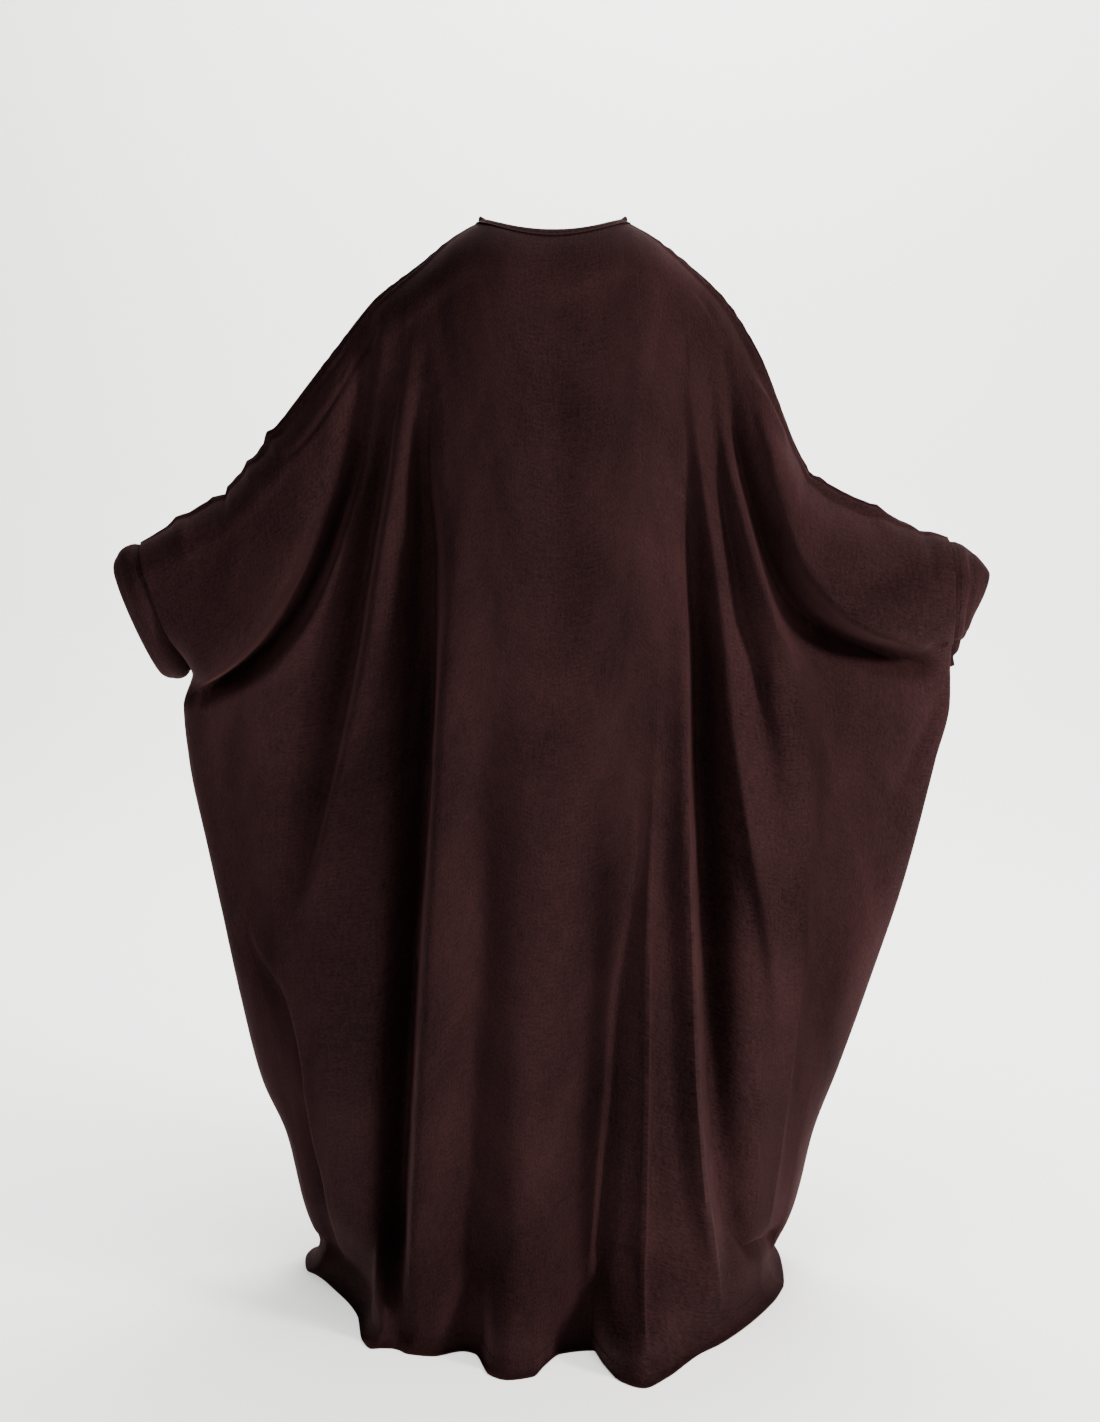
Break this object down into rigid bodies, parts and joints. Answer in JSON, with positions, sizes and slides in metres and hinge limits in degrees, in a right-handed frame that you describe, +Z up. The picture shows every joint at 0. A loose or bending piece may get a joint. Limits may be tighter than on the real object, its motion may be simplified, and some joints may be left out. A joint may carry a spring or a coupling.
{
  "type": "butterfly abaya",
  "caption": "Butterfly abaya as worn with both arms held out: wide front and back panels, cuffed sleeve ends, bound round neck, and a hem that trails on the floor.",
  "frame": {"origin": "the middle of the neck base, level with the two neck ends of the shoulder seams, where the wearer holds the garment up; the floor is 1.44 m below it", "axes": "+X the wearer's right, +Y the wearer's front (the picture is taken from -Y, behind), +Z up"},
  "size_m": [1.1773, 0.6533, 1.4445],
  "materials": {
    "crepe": "matt"
  },
  "bodies": {
    "root": {"back": "crepe", "front": "crepe", "cuff_left": "crepe", "cuff_right": "crepe", "neck_binding": "crepe"}
  },
  "joints": []
}
